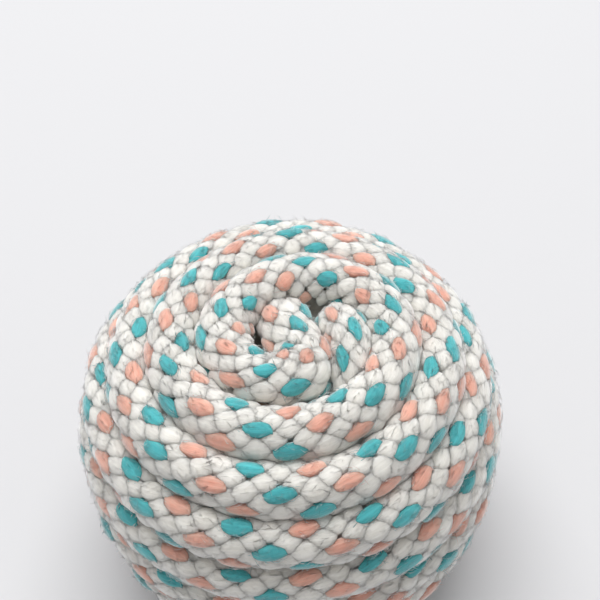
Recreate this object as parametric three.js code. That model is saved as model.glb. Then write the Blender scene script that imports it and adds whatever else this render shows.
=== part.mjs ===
// A machine-wound ball of thick braided macrame cord, standing on its flat spot.
// Millimetres, +Z up, front at -Y, the flat spot centred on the origin.
import * as THREE from 'three';

// the ball
const BALL_WIDTH = 94;
const FORM_HEIGHT = 79;      // height of the full form, before the flat spot is taken off
const SHOULDER = 2.6;        // 2 is an ellipse, more is squarer at the shoulders
const FLAT_CUT = 1.5;        // how much of the form the flat spot takes off

// the cord and its winding, which runs inward counter-clockwise seen from above
const CORD_WIDTH = 12;       // also the step from one turn to the next
const GROOVE_DEPTH = 3.4;
const GROOVE_SHARPNESS = 0.94;
const FIRST_GROOVE = 0.31;   // turns from the centre to the first groove, on +X
const CENTRE_FADE = 5;       // the groove runs out over this length at the centre
const FLAT_FADE = 9;         // and over this length next to the flat spot

// how much higher or lower than its neighbours each turn lies, from the centre down
const TURN_LIFT = [0.0, 0.5, -0.3, 0.3, -0.3, 0.3, -0.2, 0.3, -0.2, 0.2, 0.0, 0.0, 0.0];

// the sunken centre, where the innermost turn goes down into the ball
const DIMPLE_DEPTH = 5.5;
const DIMPLE_RADIUS = 8.5;

// the mesh: its lines follow the grooves, so lanes and columns make one long strip
const COLUMNS = 60;
const LANES_PER_TURN = 7;
const FINE_STEPS = 2000;

const COLOUR = 0xe6e0da;

const TURN = 2 * Math.PI;
const FLOOR = FLAT_CUT - FORM_HEIGHT / 2;
const OUTLINE = fineOutline();
const OUTLINE_LENGTH = OUTLINE[OUTLINE.length - 1].length;
const LANE_STEP = CORD_WIDTH / LANES_PER_TURN;
const LANES = Math.ceil((OUTLINE_LENGTH / CORD_WIDTH + 1 - FIRST_GROOVE) * LANES_PER_TURN) + 1;

// Point of the plain form, a superellipse, for an angle from the top (0) to the bottom (PI).
function formPoint(angle) {
  const power = 2 / SHOULDER;
  const radius = (BALL_WIDTH / 2) * Math.pow(Math.abs(Math.sin(angle)), power);
  const side = Math.sign(Math.cos(angle));
  const rise = (FORM_HEIGHT / 2) * side * Math.pow(Math.abs(Math.cos(angle)), power);
  const dimple = side > 0 ? DIMPLE_DEPTH * Math.exp(-((radius / DIMPLE_RADIUS) ** 2)) : 0;
  return { radius, z: rise - dimple };
}

// The form's outline as closely spaced points, each with its length from the centre.
function fineOutline() {
  const points = [];
  let length = 0;
  for (let i = 0; i <= FINE_STEPS; i += 1) {
    const point = formPoint((Math.PI * i) / FINE_STEPS);
    if (i > 0) {
      const last = points[i - 1];
      length += Math.hypot(point.radius - last.radius, point.z - last.z);
    }
    points.push({ ...point, length });
  }
  return points;
}

// The outline at a length from the centre, with the outward direction there.
function outlineAt(length) {
  const next = Math.max(1, OUTLINE.findIndex((point) => point.length >= length));
  const from = OUTLINE[next - 1];
  const to = OUTLINE[next];
  const step = to.length - from.length;
  const part = (length - from.length) / step;
  return {
    radius: from.radius + (to.radius - from.radius) * part,
    z: from.z + (to.z - from.z) * part,
    out: (from.z - to.z) / step,
    up: (to.radius - from.radius) / step,
  };
}

// Radius of the flat spot: where the form crosses the cutting plane.
function flatSpotRadius() {
  const level = 1 - (2 * FLAT_CUT) / FORM_HEIGHT;
  return (BALL_WIDTH / 2) * Math.pow(1 - Math.pow(level, SHOULDER), 1 / SHOULDER);
}

// How far the surface lies under the form: nothing on a crest, most in a groove.
function grooveDrop(turns) {
  const fromCrest = 2 * Math.abs(turns - Math.round(turns)) - 1;
  return GROOVE_DEPTH * (1 - Math.sqrt(1 - GROOVE_SHARPNESS * fromCrest * fromCrest));
}

// The lift of the turn that a point is on, read from the table along the cord.
function turnLift(turns, angle) {
  const alongCord = Math.max(0, Math.floor(turns) + 0.5 + FIRST_GROOVE - angle / TURN);
  const index = Math.floor(alongCord);
  const from = TURN_LIFT[index] ?? 0;
  const to = TURN_LIFT[index + 1] ?? 0;
  const crest = Math.sin(Math.PI * (turns - Math.floor(turns)));
  return (from + (to - from) * (alongCord - index)) * crest;
}

// The wound surface at a length from the centre and an angle.
function surfacePoint(length, angle) {
  const base = outlineAt(length);
  const turns = length / CORD_WIDTH + angle / TURN - FIRST_GROOVE;
  const toFlat = OUTLINE_LENGTH - flatSpotRadius() - length;
  const fade = THREE.MathUtils.smoothstep(length, 0, CENTRE_FADE)
    * THREE.MathUtils.smoothstep(toFlat, 0, FLAT_FADE);
  const move = (turnLift(turns, angle) - grooveDrop(turns)) * fade;
  const radius = base.radius + base.out * move;
  const z = Math.max(FLOOR, base.z + base.up * move) - FLOOR;
  return [radius * Math.cos(angle), radius * Math.sin(angle), z];
}

// Length from the centre of a lane at a column: each lane climbs one turn in a round.
function laneLength(column, lane) {
  return CORD_WIDTH * (lane / LANES_PER_TURN - column / COLUMNS + FIRST_GROOVE - 1);
}

// Points of the strip, with one point for all lanes that end at either pole.
function stripPoints() {
  const positions = [0, 0, formPoint(0).z - FLOOR, 0, 0, 0];
  const index = new Map();
  for (let column = 0; column < COLUMNS; column += 1) {
    for (let lane = 0; lane <= LANES + LANES_PER_TURN; lane += 1) {
      const length = laneLength(column, lane);
      const key = `${column} ${lane}`;
      if (length < LANE_STEP / 2) {
        index.set(key, 0);
      } else if (length > OUTLINE_LENGTH - LANE_STEP / 2) {
        index.set(key, 1);
      } else {
        index.set(key, positions.length / 3);
        positions.push(...surfacePoint(length, (TURN * column) / COLUMNS));
      }
    }
  }
  return { positions, index };
}

// Faces of the strip. The last column joins the first one turn further in.
function stripFaces(index) {
  const faces = [];
  const at = (column, lane) => (column < COLUMNS
    ? index.get(`${column} ${lane}`)
    : index.get(`0 ${lane - LANES_PER_TURN}`) ?? 0);
  const add = (a, b, c) => {
    if (a !== b && b !== c && c !== a) faces.push(a, b, c);
  };
  for (let column = 0; column < COLUMNS; column += 1) {
    for (let lane = 0; lane < LANES + LANES_PER_TURN; lane += 1) {
      const near = at(column, lane);
      const far = at(column, lane + 1);
      const nextFar = at(column + 1, lane + 1);
      const nextNear = at(column + 1, lane);
      add(near, far, nextFar);
      add(near, nextFar, nextNear);
    }
  }
  return faces;
}

function ballGeometry() {
  const { positions, index } = stripPoints();
  const geometry = new THREE.BufferGeometry();
  geometry.setAttribute('position', new THREE.Float32BufferAttribute(positions, 3));
  geometry.setIndex(stripFaces(index));
  geometry.computeVertexNormals();
  return geometry;
}

const cordBall = new THREE.Mesh(
  ballGeometry(),
  new THREE.MeshStandardMaterial({ color: COLOUR, roughness: 0.95, metalness: 0 }),
);
cordBall.name = 'cord_ball';

const group = new THREE.Group();
group.name = 'macrame_cord';
group.add(cordBall);

export default group;
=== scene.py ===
"""A wound ball of thick braided macrame cord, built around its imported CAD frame.

The cord runs on a spiral from the sunken centre of the top to the underside. Sixteen soft
strands are braided round it: eight run one way, and one in four of them is turquoise and one
in four salmon; eight white ones run the other way. Thin loose fibres stand off the strands,
and a filling keeps the cord and the ball from being hollow.
"""
import math

import bpy
import numpy as np
from mathutils import Matrix, Vector


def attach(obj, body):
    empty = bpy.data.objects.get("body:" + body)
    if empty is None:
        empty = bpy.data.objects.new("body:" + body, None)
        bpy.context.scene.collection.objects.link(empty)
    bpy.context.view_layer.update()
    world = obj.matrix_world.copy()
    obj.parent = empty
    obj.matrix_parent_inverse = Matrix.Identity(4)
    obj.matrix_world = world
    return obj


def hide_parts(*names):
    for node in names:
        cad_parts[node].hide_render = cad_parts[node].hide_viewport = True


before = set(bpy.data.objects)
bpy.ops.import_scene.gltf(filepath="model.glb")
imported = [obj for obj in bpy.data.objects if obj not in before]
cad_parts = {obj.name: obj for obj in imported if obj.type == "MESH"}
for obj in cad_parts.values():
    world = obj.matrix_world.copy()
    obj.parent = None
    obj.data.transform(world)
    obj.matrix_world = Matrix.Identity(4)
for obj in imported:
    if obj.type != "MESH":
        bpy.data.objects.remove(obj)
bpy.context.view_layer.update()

BALL_NODE = "cord_ball"

bl_info = {
    "name": "Braided cord ball",
    "version": (1, 0, 0),
    "blender": (4, 5, 0),
    "location": "3D View > Sidebar > Cord ball",
    "description": "Builds a wound ball of braided macrame cord and its stage",
    "category": "Add Mesh",
}

MM = 0.001
TURN = 2.0 * math.pi

# The form, as the CAD has it
FORM_HEIGHT = 79 * MM  # before the flat spot is cut
SHOULDER = 2.6  # power of the superellipse; 2 is an ellipse
FLAT_CUT = 1.5 * MM  # height that the flat spot takes off
DIMPLE_RADIUS = 8.5 * MM  # of the dip in the centre of the top
OUTLINE_POINTS = 4001

# The winding, where a turn lies level most of the way and steps out at the back right
FIRST_TURN_ANGLE = 0.81  # where the turns are counted from, as a share of a turn from +X
STEP_CENTRE = 1.655  # middle of the first step, in turns
STEP_HALF_SPAN = 0.2  # half the width of a step, in turns
STEADY_SHARE = 0.12  # share of a row that is climbed evenly all the way round
FIRST_RING = 12.9 * MM  # from the top's centre to the innermost row, along the outline
ROW_STEP = 12.1 * MM  # from row to row, along the outline
JOIN_TURN = 1.12  # where the curl in the centre hole takes over, in turns
LAST_TURN = 12.5  # past the last row of the underside
TURN_STEP = 0.004  # between points of the spiral, in turns
JOIN_AIM = 12  # the spiral's point that the end of the curl aims at

# The cord's inner end, which curls up in the centre hole, as (x, y, drop) in mm
INNER_CURL = (
    (-0.2, 9.2, 44.0),
    (-0.2, 9.1, 22.0),
    (-0.2, 8.7, 11.0),
    (-0.1, 7.3, 5.2),
    (0.2, 4.6, 2.4),
    (1.0, 0.8, 1.4),
    (2.6, -3.1, 1.1),
    (3.6, -7.0, 0.8),
    (2.0, -10.6, 0.2),
)

# The short arc that comes up and goes down at the right of the centre, likewise
RIGHT_ARC = (
    (10.6, 7.4, 44.0),
    (10.6, 7.4, 22.0),
    (10.8, 7.0, 12.0),
    (11.3, 5.4, 5.2),
    (12.2, 2.6, 1.5),
    (12.9, -1.0, 0.4),
    (13.2, -5.0, 0.4),
    (12.9, -8.8, 1.6),
    (12.2, -11.6, 4.4),
    (11.8, -13.2, 9.0),
    (11.6, -13.8, 18.0),
    (11.6, -13.8, 42.0),
)
ARC_HUB = (6.0, -2.0, 22.0)  # point in the ball that the arc's outer side faces away from
ARC_TIGHTNESS = 0.82  # scale of the arc's section

# Points along the paths
SPAN_POINTS = 30  # for each span of a smooth curve
PATH_STEP = 0.4 * MM  # between points of an even path
BEND_WINDOW = 15  # points over which the bend is averaged
BEND_SHORTENING = 0.8  # of floats in a bend; at 1 their outer side isn't stretched at all

# The strands' runs on each path, where reach is how far they go round the cord in degrees
MAIN_RUNS = {"seed": 11, "reach": 100}
ARC_RUNS = {"seed": 41, "reach": 112}

# The two ways round the cord, where shift puts one way's floats over the other's dives
ALONG_WAY = {"way": -1, "slant": 2.0, "shift": 0.0}
CROSS_WAY = {"way": 1, "slant": 1.2, "shift": math.pi}

# The floats of each kind: their rise, width, lengthening, and how soon they flatten on top
WHITE_ALONG = {"lift": 0.1 * MM, "breadth": 1.15, "stretch": 0.85, "top_power": 0.45}
COLOURED_ALONG = {"lift": 0.33 * MM, "breadth": 0.81, "stretch": 1.12, "top_power": 0.3}
WHITE_CROSS = {"lift": 0.05 * MM, "breadth": 1.21, "stretch": 0.7, "top_power": 0.5}

# Every strand
FIRST_FLOAT = 0.3  # where the first float lies, in float lengths along the cord
SHARP_CROSSING = 0.3  # how far a strand keeps to its row before it crosses over
NARROWEST = 0.06  # share of its width that it keeps where it dives
THINNEST = 0.62  # share of its thickness that it keeps there
END_TAPER = 0.35  # float lengths in which the ends of a run close
WIDTH_HEIGHT = 0.86  # share of the braid's radius at which its width turns into an angle
STEPS_PER_FLOAT = 12
STRAND_SIDES = 8
STRAND_GIRTH = 9.0  # in mm, for the UV map
MAP_SHIFT = 400  # in mm, so that no two strands share a pattern
UPPER_RUNS = 150  # runs counted as upper ones, to keep each piece to a size

# Slow random changes along a strand, as their size and their waves for each float length
LEAN_DRIFT = (0.35, (0.31, 0.57))
ANGLE_DRIFT = (0.07, (0.23, 0.49))
WIDTH_DRIFT = (0.12, (0.21, 0.47))
HEIGHT_DRIFT = (0.22 * MM, (0.27, 0.61))
WAVE_SPREAD = (0.8, 1.2)  # each wave is made shorter or longer by a scale between these
WIDTH_SPREAD = 0.06  # a whole run is wider or narrower by up to this share

# The loose fibres
FUZZ_SPAN = 0.68  # share of a run that they grow on
FUZZ_SPREAD = 0.55  # spread of their angle to the strand, in radians
FUZZ_LENGTH = (1.2 * MM, 3.0 * MM)
FUZZ_RADIUS = (0.035 * MM, 0.085 * MM)  # thicker than real fibres, which are too fine to show
FUZZ_MIDDLE_LIFT = (0.05, 0.3)  # height above the strand halfway, in mm
FUZZ_END_LIFT = (-0.7, 0.25)  # and at the far end
FUZZ_ROOT = 0.1 * MM  # depth of the near end
FUZZ_SHADE = 0.3  # the darkest one's shade; the lightest one's is 1
FUZZ_SEED = 70  # for the first set of runs in a piece; the next sets count on from it
FUZZ_PER_RUN = {"white": 78, "turquoise": 88, "salmon": 88}
FIBRE_FACES = ((0, 2, 3), (0, 3, 4), (0, 4, 2), (1, 3, 2), (1, 4, 3), (1, 2, 4))
FIBRE_MAP = (0, 3, 1.5, 1.5, 1.5)  # where its points lie along the map, in mm

# The filling
CORD_FILLING = 3.6 * MM  # radius inside the cord
BALL_FILLING_INSET = 8.5 * MM  # depth under the outline of the ball
BALL_FILLING_DIP = 9 * MM  # depth of its dimple

# The pieces and their yarns
STRAND_PIECES = {"along_white": "white", "cross_white_upper": "white",
                 "cross_white_lower": "white", "turquoise": "turquoise", "salmon": "salmon"}
FUZZ_PIECES = {"white_upper": "white", "white_lower": "white", "turquoise": "turquoise",
               "salmon": "salmon"}

# The look of the yarn
SHADED_FIBRES = {"white": 0.82, "turquoise": 0.7, "salmon": 0.8}  # share of the full colour
SHADED_FILLING = 0.8
STRAND_TONE = 0.16  # how far a strand's own shade moves its tone
TONE_RANGE = (0.38, 0.68)  # tones that take the shaded and the full colour
FIBRE_SLANT = 12  # degrees that the fibres lie off the strand's line
# real fibres, about 0.02 mm wide, are too fine to show, so the pattern is as coarse as it needs
FIBRES_PER_MM = (0.2, 2.4, 1)  # along and across, so each is 5 mm long and 0.4 mm wide
CLUMPS_PER_MM = 0.7  # so each is about 1.4 mm across
FIBRE_HEIGHT = 0.45 * MM
CLUMP_HEIGHT = 0.5 * MM
CORD_SHADING = 0.62  # how far the shading follows the roundness of the whole cord
GLOW_DEPTH = (4.0 * MM, 4.0 * MM, 4.1 * MM)  # how deep red, green and blue light goes

# The stage, in metres and watts
FLOOR_HALF_WIDTH = 3.0
WORLD_STRENGTH = 0.48
OVERHEAD_LIGHT = {"place": (0.0, 0.6, 1.63), "size": 1.55, "power": 36.0}
LIGHT_AIM = (0, 0, 0.04)

# The camera
FRAME_PIXELS = 600
BALL_CENTRE_PIXEL = (291, 425)  # where the ball's centre falls in the photo
FOCAL_PIXELS = 1011.6  # focal length, in pixels of the photo
CAMERA_ELEVATION = 57  # degrees above the floor
CAMERA_DISTANCE = 0.235  # metres from the ball's centre
CAMERA_ROLL = 4.5  # degrees
CAMERA_CLIP = 0.005  # metres, the nearest that it sees
SENSOR_WIDTH = 36  # mm


def linear(hex_colour):
    """sRGB hex to linear RGBA: each channel through the sRGB curve."""
    value = hex_colour.lstrip("#")
    channels = [int(value[i:i + 2], 16) / 255 for i in (0, 2, 4)]
    curve = [c / 12.92 if c <= 0.04045 else ((c + 0.055) / 1.055) ** 2.4 for c in channels]
    return (*curve, 1.0)


class CordBallSizes(bpy.types.PropertyGroup):
    """Sizes of the ball and of the braid."""

    ball_width: bpy.props.FloatProperty(
        name="Ball width", description="Width of the wound ball", subtype="DISTANCE",
        unit="LENGTH", default=94 * MM)
    cord_width: bpy.props.FloatProperty(
        name="Cord width", description="Width of the cord, which sets how deep its middle lies",
        subtype="DISTANCE", unit="LENGTH", default=12 * MM)
    braid_radius: bpy.props.FloatProperty(
        name="Braid radius", description="From the cord's middle to the top of a strand",
        subtype="DISTANCE", unit="LENGTH", default=6.2 * MM)
    float_length: bpy.props.FloatProperty(
        name="Float length", description="Length of cord for one visible bit of a strand",
        subtype="DISTANCE", unit="LENGTH", default=6.92 * MM)
    strands_each_way: bpy.props.IntProperty(
        name="Strands each way", description="Strands that run one way round the cord",
        default=8)
    strand_width: bpy.props.FloatProperty(
        name="Strand width", description="Width of a strand where it lies on top",
        subtype="DISTANCE", unit="LENGTH", default=4.3 * MM)
    strand_height: bpy.props.FloatProperty(
        name="Strand height", description="Thickness of a strand where it lies on top",
        subtype="DISTANCE", unit="LENGTH", default=2.5 * MM)
    dive: bpy.props.FloatProperty(
        name="Dive", description="How far a strand goes down to pass under another",
        subtype="DISTANCE", unit="LENGTH", default=1.15 * MM)


class CordBallColours(bpy.types.PropertyGroup):
    """Colours of the yarn and the floor."""

    white: bpy.props.FloatVectorProperty(
        name="White", description="Main strands", subtype="COLOR", size=4,
        default=linear("#eae6dd"))
    turquoise: bpy.props.FloatVectorProperty(
        name="Turquoise", description="Turquoise strands", subtype="COLOR", size=4,
        default=linear("#50aeb3"))
    salmon: bpy.props.FloatVectorProperty(
        name="Salmon", description="Salmon strands", subtype="COLOR", size=4,
        default=linear("#e9a997"))
    floor: bpy.props.FloatVectorProperty(
        name="Floor", description="Plain pale ground", subtype="COLOR", size=4,
        default=linear("#cbcbcd"))


def form_outline(width, inset=0.0, dimple=0.0):
    """Outline of the form from the top centre to the bottom.

    A superellipse (r/R)^n + (z/H)^n = 1 less a Gaussian dimple in its upper half, moved
    inward by inset. Gives length along the full form, radius, height above the floor, and
    the outward direction (out, up).
    """
    angle = np.linspace(0, math.pi, OUTLINE_POINTS)
    power = 2 / SHOULDER
    radius = (width / 2) * np.abs(np.sin(angle)) ** power
    side = np.sign(np.cos(angle))
    height = (FORM_HEIGHT / 2) * side * np.abs(np.cos(angle)) ** power
    height -= np.where(side > 0, dimple * np.exp(-(radius / DIMPLE_RADIUS) ** 2), 0)
    height += FORM_HEIGHT / 2 - FLAT_CUT
    along_r, along_z = np.gradient(radius), np.gradient(height)
    step = np.hypot(along_r, along_z)
    out, up = -along_z / step, along_r / step
    length = np.concatenate([[0], np.cumsum(np.hypot(np.diff(radius), np.diff(height)))])
    return length, radius - inset * out, height - inset * up, out, up


def turn_length(turns):
    """Length along the outline at a count of turns.

    Each turn keeps its place for most of the way and moves out by one row across the step,
    by the smooth curve 3 x^2 - 2 x^3, mixed with a small steady climb.
    """
    from_step = turns - STEP_CENTRE
    whole = np.floor(from_step + 0.5)
    part = from_step - whole
    x = np.clip((part + STEP_HALF_SPAN) / (2 * STEP_HALF_SPAN), 0, 1)
    row = whole + (1 - STEADY_SHARE) * x * x * (3 - 2 * x) + STEADY_SHARE * (part + 0.5)
    return FIRST_RING + ROW_STEP * row


def smooth_through(points):
    """Catmull-Rom curve through points, as SPAN_POINTS points for each span.

    Between p1 and p2, with p0 before and p3 after them, a span is half of
    2 p1 + (p2 - p0) t + (2 p0 - 5 p1 + 4 p2 - p3) t^2 + (3 p1 - p0 - 3 p2 + p3) t^3.
    """
    p = np.asarray(points, float)
    p = np.vstack([2 * p[0] - p[1], p, 2 * p[-1] - p[-2]])
    t = np.linspace(0, 1, SPAN_POINTS, endpoint=False)[:, None]
    spans = [
        0.5 * (2 * p[i] + (p[i + 1] - p[i - 1]) * t
               + (2 * p[i - 1] - 5 * p[i] + 4 * p[i + 1] - p[i + 2]) * t ** 2
               + (3 * p[i] - p[i - 1] - 3 * p[i + 1] + p[i + 2]) * t ** 3)
        for i in range(1, len(p) - 2)
    ]
    return np.vstack([*spans, p[-2]])


def unit(vectors):
    """Vectors scaled to length 1."""
    return vectors / np.linalg.norm(vectors, axis=-1, keepdims=True)


def even_path(points, normals, tightness, radius):
    """Points and normals at even steps along a path, with side directions.

    The normal is made square to the tangent, and side is normal x tangent. The braid
    coordinate grows faster than the length in a bend: by 1 + k radius / bend radius, with
    the bend smoothed by a running mean. Tightness scales the cord's section.
    """
    length = np.concatenate([[0], np.cumsum(np.linalg.norm(np.diff(points, axis=0), axis=1))])
    count = int(length[-1] / PATH_STEP) + 1
    at = np.linspace(0, length[-1], count)
    place = np.stack([np.interp(at, length, points[:, k]) for k in range(3)], 1)
    normal = np.stack([np.interp(at, length, normals[:, k]) for k in range(3)], 1)
    tangent = unit(np.gradient(place, axis=0))
    normal = unit(normal - tangent * np.sum(normal * tangent, 1, keepdims=True))
    bend = np.linalg.norm(np.gradient(tangent, axis=0), axis=1) / (at[1] - at[0])
    bend = np.convolve(np.pad(bend, BEND_WINDOW // 2, mode="edge"),
                       np.ones(BEND_WINDOW) / BEND_WINDOW, mode="valid")
    growth = 1 + BEND_SHORTENING * bend * radius
    braid = np.concatenate([[0], np.cumsum(np.diff(at) * growth[1:])])
    return {"braid": braid, "place": place, "normal": normal,
            "side": np.cross(normal, tangent), "tight": tightness}


def carried_normals(points, first):
    """The first normal carried along points without twist, by removing each tangent's part."""
    tangent = unit(np.gradient(points, axis=0))
    normals = [np.asarray(first, float)]
    for t in tangent[1:]:
        n = normals[-1] - t * np.dot(normals[-1], t)
        normals.append(n / np.linalg.norm(n))
    return np.array(normals)


def crown_height(sizes):
    """Height of the cord's middle line where it lies on the top of the ball."""
    length, _, height, _, _ = form_outline(sizes.ball_width, sizes.cord_width / 2)
    return np.interp(sizes.cord_width, length, height)


def dropped(rows, crown):
    """Rows of (x, y, drop) in mm as points below the crown."""
    return [(x * MM, y * MM, crown - drop * MM) for x, y, drop in rows]


def main_path(sizes):
    """The cord's middle line, from deep in the centre hole out to the underside.

    Outer part: the point of the form's outline at turn_length, moved in by half the cord, at
    an angle that goes clockwise outward. Inner part: the curve through INNER_CURL, less its
    last span, which only aims it at the outer part.
    """
    half = sizes.cord_width / 2
    length, radius, height, out, up = form_outline(sizes.ball_width, half)
    turns = np.arange(JOIN_TURN, LAST_TURN, TURN_STEP)
    along = turn_length(turns)
    turns, along = turns[along < length[-1] - half], along[along < length[-1] - half]
    angle = TURN * (FIRST_TURN_ANGLE - turns)
    r = np.interp(along, length, radius)
    z = np.maximum(np.interp(along, length, height), half)
    nr, nz = np.interp(along, length, out), np.interp(along, length, up)
    points = np.stack([r * np.cos(angle), r * np.sin(angle), z], 1)
    normals = np.stack([nr * np.cos(angle), nr * np.sin(angle), nz], 1)
    inner = dropped(INNER_CURL, crown_height(sizes))
    curl = smooth_through([*inner, points[0], points[JOIN_AIM]])[:-SPAN_POINTS - 1]
    curl_normals = carried_normals(curl[::-1], normals[0])[::-1]
    return even_path(np.vstack([curl, points]), np.vstack([curl_normals, normals]), 1.0,
                     sizes.braid_radius)


def arc_path(sizes):
    """The middle line of the short arc at the right: the curve through RIGHT_ARC."""
    crown = crown_height(sizes)
    points = smooth_through(dropped(RIGHT_ARC, crown))
    hub = np.array(dropped([ARC_HUB], crown)[0])
    return even_path(points, unit(points - hub), ARC_TIGHTNESS, sizes.braid_radius)


def strand_runs(path, sizes, number, half_run, seed, way, slant, shift, lift, breadth, stretch,
                top_power):
    """Runs of the strands of one direction, each where it crosses the outer side of the cord.

    With a the length away from the middle of a run and f the float length, the phase p is
    2 pi a / f + shift. The angle round the cord is way (k a - sway / n), where k turns it by
    one of n strands' places for each float, and sway = slant sin p - c sin 2p leans the
    float and sharpens the crossing. With near = (1 + cos p) / 2, the strand is high and
    thick by near^top_power and wide by near, and goes down by dive where near is 0. Its
    section is an ellipse bent round the cord, it is lengthened on top by
    stretch f / (2 pi) sin p, and it closes to a point at both ends. Slow sines with random
    starts vary the lean, angle, width and height. Gives the grids of places, map, shade and
    outward direction, and near along a run.
    """
    rng = np.random.default_rng(seed)
    f = sizes.float_length
    turn_rate = TURN / sizes.strands_each_way / f
    steps = int(2 * half_run / f * STEPS_PER_FLOAT)
    away = np.linspace(-half_run, half_run, steps)[None, :, None]
    round_part = (np.arange(STRAND_SIDES) / STRAND_SIDES)[None, None, :]
    section = round_part * TURN
    middle = ((number + FIRST_FLOAT) * f)[:, None, None]
    shape = middle.shape

    def drift(size, waves):
        """A slow random change along each run: a mean of sines."""
        out = np.zeros((len(number), steps, 1))
        for wave in waves:
            out += np.sin(TURN * away / f * wave * rng.uniform(*WAVE_SPREAD, shape)
                          + rng.uniform(0, TURN, shape))
        return size * out / len(waves)

    phase = TURN * away / f + shift
    lean = slant + drift(*LEAN_DRIFT)
    sway = lean * np.sin(phase) - SHARP_CROSSING * np.sin(2 * phase)
    angle = way * (turn_rate * away - sway / sizes.strands_each_way)
    angle = angle + drift(*ANGLE_DRIFT)
    near = 0.5 + 0.5 * np.cos(phase)
    top = near ** top_power
    wide = 1 + drift(*WIDTH_DRIFT) + rng.uniform(-WIDTH_SPREAD, WIDTH_SPREAD, shape)
    end = np.clip((half_run - np.abs(away)) / (END_TAPER * f), 0, 1) ** 0.5
    half_width = (breadth * sizes.strand_width / 2
                  * (NARROWEST + (1 - NARROWEST) * near) * wide * end)
    half_height = sizes.strand_height / 2 * (THINNEST + (1 - THINNEST) * top) * end
    middle_height = (sizes.braid_radius - sizes.strand_height / 2
                     + lift - sizes.dive * (1 - top) + drift(*HEIGHT_DRIFT))
    turned = angle + half_width * np.cos(section) / (sizes.braid_radius * WIDTH_HEIGHT)
    reach_out = (middle_height + half_height * np.sin(section)) * path["tight"]
    at = middle + away + stretch * f / TURN * np.sin(phase) + 0 * section
    normal, side, place = (
        np.stack([np.interp(at, path["braid"], path[key][:, k]) for k in range(3)], -1)
        for key in ("normal", "side", "place"))
    outward = np.cos(turned)[..., None] * normal + np.sin(turned)[..., None] * side
    verts = place + reach_out[..., None] * outward
    u = at / MM + rng.uniform(0, MAP_SHIFT, shape)
    v = np.broadcast_to(round_part * STRAND_GIRTH, at.shape)
    shade = np.broadcast_to(rng.uniform(0, 1, shape), at.shape)
    return (verts, np.stack([u, v], -1), shade, outward), near[0, :, 0]


def braided_runs(path, sizes, seed, reach):
    """The float numbers along one path, and the runs of both directions there."""
    f = sizes.float_length
    half_run = math.radians(reach) / (TURN / sizes.strands_each_way / f)
    first = int(math.ceil(half_run / f))
    count = int((path["braid"][-1] - half_run) / f - FIRST_FLOAT) - first
    if count < 1:
        raise RuntimeError("the path is too short for one run of a strand")
    number = np.arange(first, first + count)
    white = (number % 2 == 1)[:, None, None]
    floats = {key: np.where(white, WHITE_ALONG[key], COLOURED_ALONG[key])
              for key in WHITE_ALONG}
    along = strand_runs(path, sizes, number, half_run, seed, **ALONG_WAY, **floats)
    cross = strand_runs(path, sizes, number, half_run, seed + 1, **CROSS_WAY, **WHITE_CROSS)
    return number, along, cross


def all_runs(sizes):
    """The runs of the main cord and of the short arc."""
    return (braided_runs(main_path(sizes), sizes, **MAIN_RUNS),
            braided_runs(arc_path(sizes), sizes, **ARC_RUNS))


def strand_groups(number, along, cross):
    """The runs in each piece of strands.

    Along one way round, every second run is white and the others are turquoise and salmon
    in turn. The other way, all are white.
    """
    upper = number < UPPER_RUNS
    return {
        "along_white": ((along, number % 2 == 1),),
        "cross_white_upper": ((cross, upper),),
        "cross_white_lower": ((cross, ~upper),),
        "turquoise": ((along, number % 4 == 0),),
        "salmon": ((along, number % 4 == 2),),
    }


def fuzz_groups(number, along, cross):
    """The runs that each piece of loose fibres grows on."""
    upper, odd = number < UPPER_RUNS, number % 2 == 1
    return {
        "white_upper": ((along, upper & odd), (cross, upper)),
        "white_lower": ((along, ~upper & odd), (cross, ~upper)),
        "turquoise": ((along, number % 4 == 0),),
        "salmon": ((along, number % 4 == 2),),
    }


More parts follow.
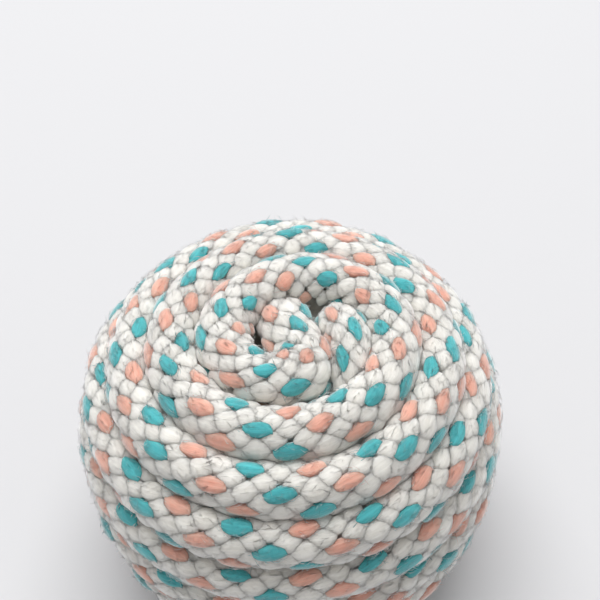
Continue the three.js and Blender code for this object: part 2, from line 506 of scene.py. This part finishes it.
def loose_fibres(verts, outward, near, per_run, seed):
    """Thin bent fibres that stand a little off the outer side of each float.

    Each fibre is a spindle of two tips and a ring of three points round its middle. It
    starts at a random point of a float, leaves at a random angle to the strand, and its far
    end goes up or down a little from the tangent plane.
    """
    rng = np.random.default_rng(seed)
    runs, steps, around = verts.shape[:3]
    count = runs * per_run
    each = len(FIBRE_MAP)
    half_steps = (steps - 1) / 2
    within = np.abs(np.arange(steps) - half_steps) < FUZZ_SPAN * half_steps
    weight = np.where(within, near ** 2, 0)
    weight[[0, -1]] = 0
    run = np.repeat(np.arange(runs), per_run)
    step = rng.choice(steps, count, p=weight / weight.sum())
    spot = rng.integers(0, around // 2 + 1, count)
    start = verts[run, step, spot]
    normal = unit(start - verts[run, step].mean(1))
    along = unit(verts[run, step + 1, spot] - verts[run, step - 1, spot])
    across = np.cross(normal, along)
    turn = rng.normal(0, FUZZ_SPREAD, count)[:, None]
    way = np.cos(turn) * along + np.sin(turn) * across
    way *= rng.choice([-1, 1], count)[:, None]
    length = rng.uniform(*FUZZ_LENGTH, count)[:, None]
    radius = rng.uniform(*FUZZ_RADIUS, count)[:, None, None]
    middle = (start + way * length * 0.5
              + normal * rng.uniform(*FUZZ_MIDDLE_LIFT, count)[:, None] * MM)
    finish = start + way * length + normal * rng.uniform(*FUZZ_END_LIFT, count)[:, None] * MM
    start = start - normal * FUZZ_ROOT
    second = np.cross(way, normal)
    a = (np.arange(3) / 3 * TURN)[None, :, None]
    ring = middle[:, None] + radius * (np.cos(a) * normal[:, None] + np.sin(a) * second[:, None])
    points = np.concatenate([start[:, None], finish[:, None], ring], 1).reshape(-1, 3)
    tris = np.array(FIBRE_FACES)[None] + (np.arange(count) * each)[:, None, None]
    u = rng.uniform(0, MAP_SHIFT, count)[:, None] + np.array(FIBRE_MAP)
    v = np.broadcast_to(rng.uniform(0, STRAND_GIRTH, count)[:, None], u.shape)
    shade = np.repeat(rng.uniform(FUZZ_SHADE, 1, count), each)
    outs = np.repeat(outward[run, step, spot], each, axis=0)
    no_quads = np.zeros((0, 4), int)
    return points, np.stack([u, v], -1).reshape(-1, 2), shade, outs, no_quads, tris.reshape(-1, 3)


def tube_faces(runs, steps, around):
    """Quads of closed tubes on a (run, step, around) grid, with a fan point at both ends."""
    size = steps * around + 2
    i, j = np.meshgrid(np.arange(steps - 1), np.arange(around), indexing="ij")
    k = (j + 1) % around
    quad = np.stack([i * around + j, i * around + k, (i + 1) * around + k,
                     (i + 1) * around + j], -1).reshape(-1, 4)
    j = np.arange(around)
    k = (j + 1) % around
    low, high = steps * around, steps * around + 1
    start = np.stack([np.full(around, low), k, j], -1)
    last = (steps - 1) * around
    finish = np.stack([np.full(around, high), last + j, last + k], -1)
    offset = (np.arange(runs) * size)[:, None, None]
    quads = (quad[None] + offset).reshape(-1, 4)
    tris = (np.vstack([start, finish])[None] + offset).reshape(-1, 3)
    return quads, tris


def closed_tubes(verts, uv, shade, outward):
    """Adds the two end points to each tube and flattens the grids."""
    runs, steps, around = verts.shape[:3]

    def with_ends(grid, width):
        """A grid as one list, each tube's points followed by the means of its end rings."""
        ends = np.stack([grid[:, 0].mean(1), grid[:, -1].mean(1)], 1)
        return np.concatenate([grid.reshape(runs, -1, width), ends], 1).reshape(-1, width)

    shades = np.concatenate([shade.reshape(runs, -1), shade[:, 0, :2]], 1).reshape(-1)
    return (with_ends(verts, 3), with_ends(uv, 2), shades, with_ends(outward, 3),
            *tube_faces(runs, steps, around))


def plain_tube(grid, outward):
    """A closed tube of one (step, around) grid, without a map or shade."""
    blank = np.zeros((1, *grid.shape[:2]))
    return closed_tubes(grid[None], np.stack([blank, blank], -1), blank, outward[None])


def pressed(points):
    """Height pressed up to the floor: (z + sqrt(z^2 + e^2)) / 2, so nothing goes below it."""
    soft = 0.5 * MM
    out = points.copy()
    out[:, 2] = 0.5 * (points[:, 2] + np.sqrt(points[:, 2] ** 2 + soft ** 2))
    return out


def joined(parts):
    """Parts as one set of arrays: points end to end, pressed, and faces counted on."""
    points, uvs, shades, outs, quads, tris = zip(*parts)
    base = np.cumsum([0, *(len(p) for p in points[:-1])])
    return (pressed(np.vstack(points)), np.vstack(uvs), np.concatenate(shades),
            np.vstack(outs), np.vstack([q + b for q, b in zip(quads, base)]),
            np.vstack([t + b for t, b in zip(tris, base)]))


def mesh_object(name, arrays, material):
    """A smooth mesh object of whole arrays, with its UV map, shade and cord_outward."""
    points, uvs, shades, outs, quads, tris = arrays
    mesh = bpy.data.meshes.new(name)
    mesh.vertices.add(len(points))
    mesh.vertices.foreach_set("co", points.astype(np.float32).ravel())
    loops = np.concatenate([quads.ravel(), tris.ravel()]).astype(np.int32)
    sizes = np.concatenate([np.full(len(quads), 4), np.full(len(tris), 3)])
    starts = np.concatenate([[0], np.cumsum(sizes)[:-1]]).astype(np.int32)
    mesh.loops.add(len(loops))
    mesh.loops.foreach_set("vertex_index", loops)
    mesh.polygons.add(len(sizes))
    mesh.polygons.foreach_set("loop_start", starts)
    mesh.update(calc_edges=True)
    mesh.polygons.foreach_set("use_smooth", np.ones(len(sizes), bool))
    layer = mesh.uv_layers.new(name="yarn")
    layer.data.foreach_set("uv", uvs[loops].astype(np.float32).ravel())
    attribute = mesh.attributes.new("shade", "FLOAT", "POINT")
    attribute.data.foreach_set("value", shades.astype(np.float32))
    attribute = mesh.attributes.new("cord_outward", "FLOAT_VECTOR", "POINT")
    attribute.data.foreach_set("vector", outs.astype(np.float32).ravel())
    mesh.validate()
    mesh.update()
    piece = bpy.data.objects.new(name, mesh)
    bpy.context.scene.collection.objects.link(piece)
    mesh.materials.append(material)
    print(f"{name}: {2 * len(quads) + len(tris)} triangles")
    return piece


def ball_piece(name, arrays, material):
    """One piece of the ball, which shows in place of the plain CAD ball."""
    piece = mesh_object(name, arrays, material)
    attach(piece, "root")
    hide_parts(BALL_NODE)


def add_node(tree, kind, settings=None, **inputs):
    """A node of a kind with its settings, each input a value or another node's socket.

    An input is named as its socket, with _ for a space, or i and its number.
    """
    node = tree.nodes.new(kind)
    for key, value in (settings or {}).items():
        setattr(node, key, value)
    for key, value in inputs.items():
        numbered = key[0] == "i" and key[1:].isdigit()
        socket = node.inputs[int(key[1:]) if numbered else key.replace("_", " ")]
        if isinstance(value, bpy.types.NodeSocket):
            tree.links.new(value, socket)
        else:
            socket.default_value = value
    return node


def spun_yarn(name, colour, deep):
    """Softly spun cotton-like yarn: matt, with fine fibres along the strand.

    The eye gets a soft bright edge from the fuzz, streaks a few tenths of a millimetre wide
    along the strand, and slightly lighter and darker strands.
    """
    material = bpy.data.materials.new(name)
    material.use_nodes = True
    tree = material.node_tree
    tree.nodes.clear()
    uv = add_node(tree, "ShaderNodeUVMap", {"uv_map": "yarn"})
    shade = add_node(tree, "ShaderNodeAttribute", {"attribute_name": "shade"})
    # fine fibres lie a little off the strand's line, because the yarn is twisted
    turned = add_node(tree, "ShaderNodeMapping", i0=uv.outputs[0],
                      Rotation=(0, 0, math.radians(FIBRE_SLANT)), Scale=FIBRES_PER_MM)
    fibres = add_node(tree, "ShaderNodeTexNoise", Vector=turned.outputs[0], Scale=1.0,
                      Detail=4.0, Roughness=0.6)
    # clumps of fibres make the strand's surface uneven
    clumps = add_node(tree, "ShaderNodeTexNoise", Vector=uv.outputs[0], Scale=CLUMPS_PER_MM,
                      Detail=3.0, Roughness=0.6)
    mixed = add_node(tree, "ShaderNodeMath", {"operation": "MULTIPLY_ADD"},
                     i0=shade.outputs["Fac"], i1=STRAND_TONE, i2=fibres.outputs["Fac"])
    ramp = add_node(tree, "ShaderNodeValToRGB", Fac=mixed.outputs[0])
    for element, tone, shown in zip(ramp.color_ramp.elements, TONE_RANGE, (deep, colour)):
        element.position = tone
        element.color = shown
    bump = add_node(tree, "ShaderNodeBump", Strength=1.0, Distance=FIBRE_HEIGHT,
                    Height=fibres.outputs["Fac"])
    soft = add_node(tree, "ShaderNodeBump", Strength=1.0, Distance=CLUMP_HEIGHT,
                    Height=clumps.outputs["Fac"], Normal=bump.outputs[0])
    # loose fibres catch light from all round, so the shading leans to the cord's own roundness
    cord = add_node(tree, "ShaderNodeAttribute", {"attribute_name": "cord_outward"})
    own_share = add_node(tree, "ShaderNodeVectorMath", {"operation": "SCALE"},
                         i0=soft.outputs[0], Scale=1.0 - CORD_SHADING)
    cord_share = add_node(tree, "ShaderNodeVectorMath", {"operation": "SCALE"},
                          i0=cord.outputs["Vector"], Scale=CORD_SHADING)
    leaned = add_node(tree, "ShaderNodeVectorMath", {"operation": "ADD"},
                      i0=own_share.outputs[0], i1=cord_share.outputs[0])
    normal = add_node(tree, "ShaderNodeVectorMath", {"operation": "NORMALIZE"},
                      i0=leaned.outputs[0])
    # light goes some mm into the soft yarn and comes out again, and the fuzz adds a sheen
    shader = add_node(tree, "ShaderNodeBsdfPrincipled", Base_Color=ramp.outputs[0],
                      Roughness=0.92, Normal=normal.outputs[0])
    shader.inputs["Specular IOR Level"].default_value = 0.2
    shader.inputs["Sheen Weight"].default_value = 1.0
    shader.inputs["Sheen Roughness"].default_value = 0.45
    shader.inputs["Subsurface Weight"].default_value = 1.0
    shader.inputs["Subsurface Radius"].default_value = GLOW_DEPTH
    shader.inputs["Subsurface Scale"].default_value = 1.0
    out = add_node(tree, "ShaderNodeOutputMaterial")
    tree.links.new(shader.outputs[0], out.inputs["Surface"])
    return material


def strand_yarn(colours, kind):
    """The yarn of one colour, made when it is first asked for."""
    name, colour = f"spun_yarn_{kind}", getattr(colours, kind)
    made = bpy.data.materials.get(name)
    return made or spun_yarn(name, colour, darker(colour, SHADED_FIBRES[kind]))


def plain_floor(colour):
    """A plain painted board: matt and even."""
    material = bpy.data.materials.new("painted_board")
    material.use_nodes = True
    shader = material.node_tree.nodes["Principled BSDF"]
    shader.inputs["Base Color"].default_value = colour
    shader.inputs["Roughness"].default_value = 0.85
    return material


def darker(colour, amount):
    """The colour scaled down, for the shaded fibres of a strand."""
    return (*(c * amount for c in colour[:3]), 1.0)


class CORD_OT_strands(bpy.types.Operator):
    """Braid the sixteen strands along the wound cord and in its centre curl"""

    bl_idname = "cord_ball.strands"
    bl_label = "Braided strands"

    def execute(self, context):
        sizes, colours = context.scene.cord_sizes, context.scene.cord_colours
        groups = [strand_groups(*runs) for runs in all_runs(sizes)]
        for piece, kind in STRAND_PIECES.items():
            picked = [item for group in groups for item in group[piece]]
            tubes = [closed_tubes(*(grid[pick] for grid in grids))
                     for (grids, _), pick in picked if pick.any()]
            ball_piece(f"strands_{piece}", joined(tubes), strand_yarn(colours, kind))
        return {"FINISHED"}


class CORD_OT_loose_fibres(bpy.types.Operator):
    """Grow thin loose fibres on the outer side of the strands"""

    bl_idname = "cord_ball.loose_fibres"
    bl_label = "Loose fibres"

    def execute(self, context):
        sizes, colours = context.scene.cord_sizes, context.scene.cord_colours
        groups = [fuzz_groups(*runs) for runs in all_runs(sizes)]
        for piece, kind in FUZZ_PIECES.items():
            picked = [item for group in groups for item in group[piece]]
            fibres = [
                loose_fibres(verts[pick], outward[pick], near, FUZZ_PER_RUN[kind],
                             FUZZ_SEED + i)
                for i, (((verts, _, _, outward), near), pick) in enumerate(picked)
                if pick.any()
            ]
            ball_piece(f"fuzz_{piece}", joined(fibres), strand_yarn(colours, kind))
        return {"FINISHED"}


class CORD_OT_filling(bpy.types.Operator):
    """Fill the inside of the cord and of the ball, so that nothing is hollow"""

    bl_idname = "cord_ball.filling"
    bl_label = "Filling"

    def execute(self, context):
        sizes, colours = context.scene.cord_sizes, context.scene.cord_colours
        material = spun_yarn("spun_yarn_filling", colours.white,
                             darker(colours.white, SHADED_FILLING))
        points, _, *rest = joined([
            self.cord_filling(main_path(sizes)), self.cord_filling(arc_path(sizes)),
            self.ball_filling(sizes)])
        uvs = np.stack([points[:, 0] + points[:, 2], points[:, 1]], 1) / MM
        ball_piece("filling", (points, uvs, *rest), material)
        return {"FINISHED"}

    def cord_filling(self, path, sides=12, every=4):
        """A plain tube round the cord's middle line: place + radius (cos a N - sin a S)."""
        place, normal, side = (path[k][::every, None] for k in ("place", "normal", "side"))
        a = (np.arange(sides) / sides * TURN)[None, :, None]
        outward = np.cos(a) * normal - np.sin(a) * side
        return plain_tube(place + CORD_FILLING * path["tight"] * outward, outward)

    def ball_filling(self, sizes, rings=58, sides=72):
        """The form set in under the cord, turned round the axis as a closed surface."""
        length, radius, height, out, up = form_outline(
            sizes.ball_width, BALL_FILLING_INSET, BALL_FILLING_DIP)
        at = np.linspace(0, length[-1], rings + 2)[1:-1, None]
        a = np.arange(sides)[::-1] / sides * TURN
        r, z, nr, nz = (np.interp(at, length, line) for line in (radius, height, out, up))
        grid, outward = (np.stack([flat * np.cos(a), flat * np.sin(a), rise + 0 * a], -1)
                         for flat, rise in ((r, z), (nr, nz)))
        return plain_tube(grid, outward)


def camera_rotation():
    """Rotation that puts the ball's centre at its pixel, with the photo's roll."""
    lift = math.radians(CAMERA_ELEVATION)
    back = Vector((0, -math.cos(lift), math.sin(lift)))
    right = Vector((1, 0, 0))
    up = back.cross(right)
    facing = Matrix((right, up, back)).transposed()
    half = FRAME_PIXELS / 2
    seen = Vector((BALL_CENTRE_PIXEL[0] - half, half - BALL_CENTRE_PIXEL[1], -FOCAL_PIXELS))
    turn = seen.normalized().rotation_difference(Vector((0, 0, -1))).to_matrix()
    roll = Matrix.Rotation(math.radians(-CAMERA_ROLL), 3, "Z")
    return facing @ roll @ turn, back


class CORD_OT_stage(bpy.types.Operator):
    """Set the pale floor, the soft light and the photo's camera"""

    bl_idname = "cord_ball.stage"
    bl_label = "Stage"

    def execute(self, context):
        scene = context.scene
        self.floor(scene)
        world = bpy.data.worlds.new("studio")
        world.use_nodes = True
        background = world.node_tree.nodes["Background"]
        background.inputs["Color"].default_value = (1, 1, 1, 1)
        background.inputs["Strength"].default_value = WORLD_STRENGTH
        scene.world = world
        self.area_light(scene, "overhead", **OVERHEAD_LIGHT)
        scene.view_settings.view_transform = "Standard"
        self.camera(scene)
        return {"FINISHED"}

    def floor(self, scene):
        """A plain square floor, with the ball at its middle."""
        w = FLOOR_HALF_WIDTH
        floor = bpy.data.meshes.new("floor")
        floor.from_pydata([(-w, -w, 0), (w, -w, 0), (w, w, 0), (-w, w, 0)], [], [(0, 1, 2, 3)])
        floor_object = bpy.data.objects.new("floor", floor)
        floor.materials.append(plain_floor(scene.cord_colours.floor))
        scene.collection.objects.link(floor_object)

    def area_light(self, scene, name, place, size, power):
        """A square soft light that faces the ball."""
        light = bpy.data.lights.new(name, "AREA")
        light.size = size
        light.energy = power
        light_object = bpy.data.objects.new(name, light)
        aim = Vector(LIGHT_AIM) - Vector(place)
        light_object.rotation_euler = aim.to_track_quat("-Z", "Y").to_euler()
        light_object.location = place
        scene.collection.objects.link(light_object)

    def camera(self, scene):
        """The photo's camera, back from the ball's centre along its line of sight."""
        camera = bpy.data.cameras.new("camera")
        camera.sensor_width = SENSOR_WIDTH
        camera.lens = SENSOR_WIDTH * FOCAL_PIXELS / FRAME_PIXELS
        camera.clip_start = CAMERA_CLIP
        camera_object = bpy.data.objects.new("camera", camera)
        rotation, back = camera_rotation()
        centre = Vector((0, 0, FORM_HEIGHT / 2 - FLAT_CUT))
        camera_object.matrix_world = Matrix.Translation(
            centre + back * CAMERA_DISTANCE) @ rotation.to_4x4()
        scene.collection.objects.link(camera_object)
        scene.camera = camera_object


class CORD_PT_panel(bpy.types.Panel):
    """The steps that build the ball"""

    bl_idname = "CORD_PT_panel"
    bl_label = "Cord ball"
    bl_space_type = "VIEW_3D"
    bl_region_type = "UI"
    bl_category = "Cord ball"

    def draw(self, context):
        for operator in OPERATORS:
            self.layout.operator(operator.bl_idname)


OPERATORS = (CORD_OT_strands, CORD_OT_loose_fibres, CORD_OT_filling, CORD_OT_stage)
CLASSES = (CordBallSizes, CordBallColours, *OPERATORS, CORD_PT_panel)


def register():
    """Registers the classes and hangs the settings on the scene."""
    for item in CLASSES:
        bpy.utils.register_class(item)
    bpy.types.Scene.cord_sizes = bpy.props.PointerProperty(type=CordBallSizes)
    bpy.types.Scene.cord_colours = bpy.props.PointerProperty(type=CordBallColours)


def unregister():
    """Takes the settings and the classes away again."""
    del bpy.types.Scene.cord_sizes
    del bpy.types.Scene.cord_colours
    for item in reversed(CLASSES):
        bpy.utils.unregister_class(item)


def main():
    register()
    bpy.ops.cord_ball.strands()
    bpy.ops.cord_ball.loose_fibres()
    bpy.ops.cord_ball.filling()
    bpy.ops.cord_ball.stage()


if __name__ == "__main__":
    main()
